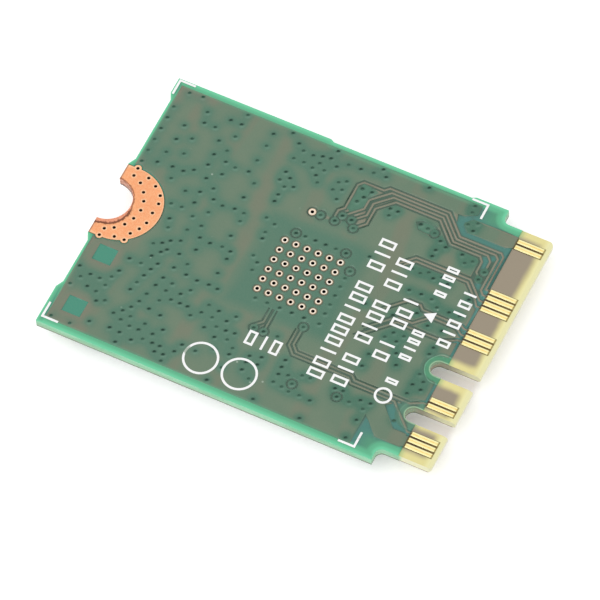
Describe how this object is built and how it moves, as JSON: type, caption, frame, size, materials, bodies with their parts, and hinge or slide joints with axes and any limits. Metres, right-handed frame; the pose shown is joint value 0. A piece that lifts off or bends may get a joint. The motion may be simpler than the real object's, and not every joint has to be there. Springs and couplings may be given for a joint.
{
  "type": "laptop wifi card",
  "caption": "Flat wireless card with a keyed contact tongue, a half-round screw notch and a shielded component side, lying on its shield.",
  "frame": {"origin": "centre of the card's box at the shield lid's outer face", "axes": "+X towards the contact tongue, +Y towards the highest contact, +Z out of the bare side of the board"},
  "size_m": [0.03, 0.022, 0.0023],
  "materials": {
    "laminate": "pale yellow glass and resin laminate, satin",
    "solder_mask": "translucent green mask, satin gloss",
    "masked_copper": "copper under the mask",
    "via_resin": "dark green resin",
    "contact_gold": "gold plate, bright",
    "bare_copper": "bare copper with a clear coat, satin",
    "tinned_copper": "tinned copper, satin",
    "white_print": "white ink",
    "shield_metal": "tinned nickel-silver sheet",
    "mould_compound": "black mould compound",
    "solder": "tin",
    "ceramic_body": "fired ceramic",
    "socket_plastic": "white insulator"
  },
  "bodies": {
    "root": {"board": "laminate", "mask_back": "solder_mask", "mask_front": "solder_mask", "ground_copper_back": "masked_copper", "signal_tracks_back": "masked_copper", "via_plugs": "via_resin", "contacts_back": "contact_gold", "contacts_front": "contact_gold", "antenna_socket_shells": "contact_gold", "antenna_socket_pins": "contact_gold", "screw_pad_back": "bare_copper", "screw_pad_front": "bare_copper", "screw_pad_vias": "bare_copper", "notch_plating": "bare_copper", "chip_vias": "tinned_copper", "probe_pad": "tinned_copper", "corner_marks": "white_print", "print_rings": "white_print", "print_triangle": "white_print", "print_marks": "white_print", "shield_frame": "shield_metal", "shield_lid": "shield_metal", "crystal_lid": "shield_metal", "radio_chip": "mould_compound", "memory_chip": "mould_compound", "regulator_chip": "mould_compound", "inductors": "mould_compound", "front_end_modules": "mould_compound", "resistors": "mould_compound", "radio_chip_solder": "solder", "memory_chip_leads": "solder", "regulator_chip_leads": "solder", "inductor_ends": "solder", "capacitor_ends": "solder", "resistor_ends": "solder", "coupling_capacitor_ends": "solder", "crystal_base": "ceramic_body", "filters": "ceramic_body", "capacitors": "ceramic_body", "coupling_capacitors": "ceramic_body", "antenna_socket_bases": "socket_plastic"}
  },
  "joints": []
}
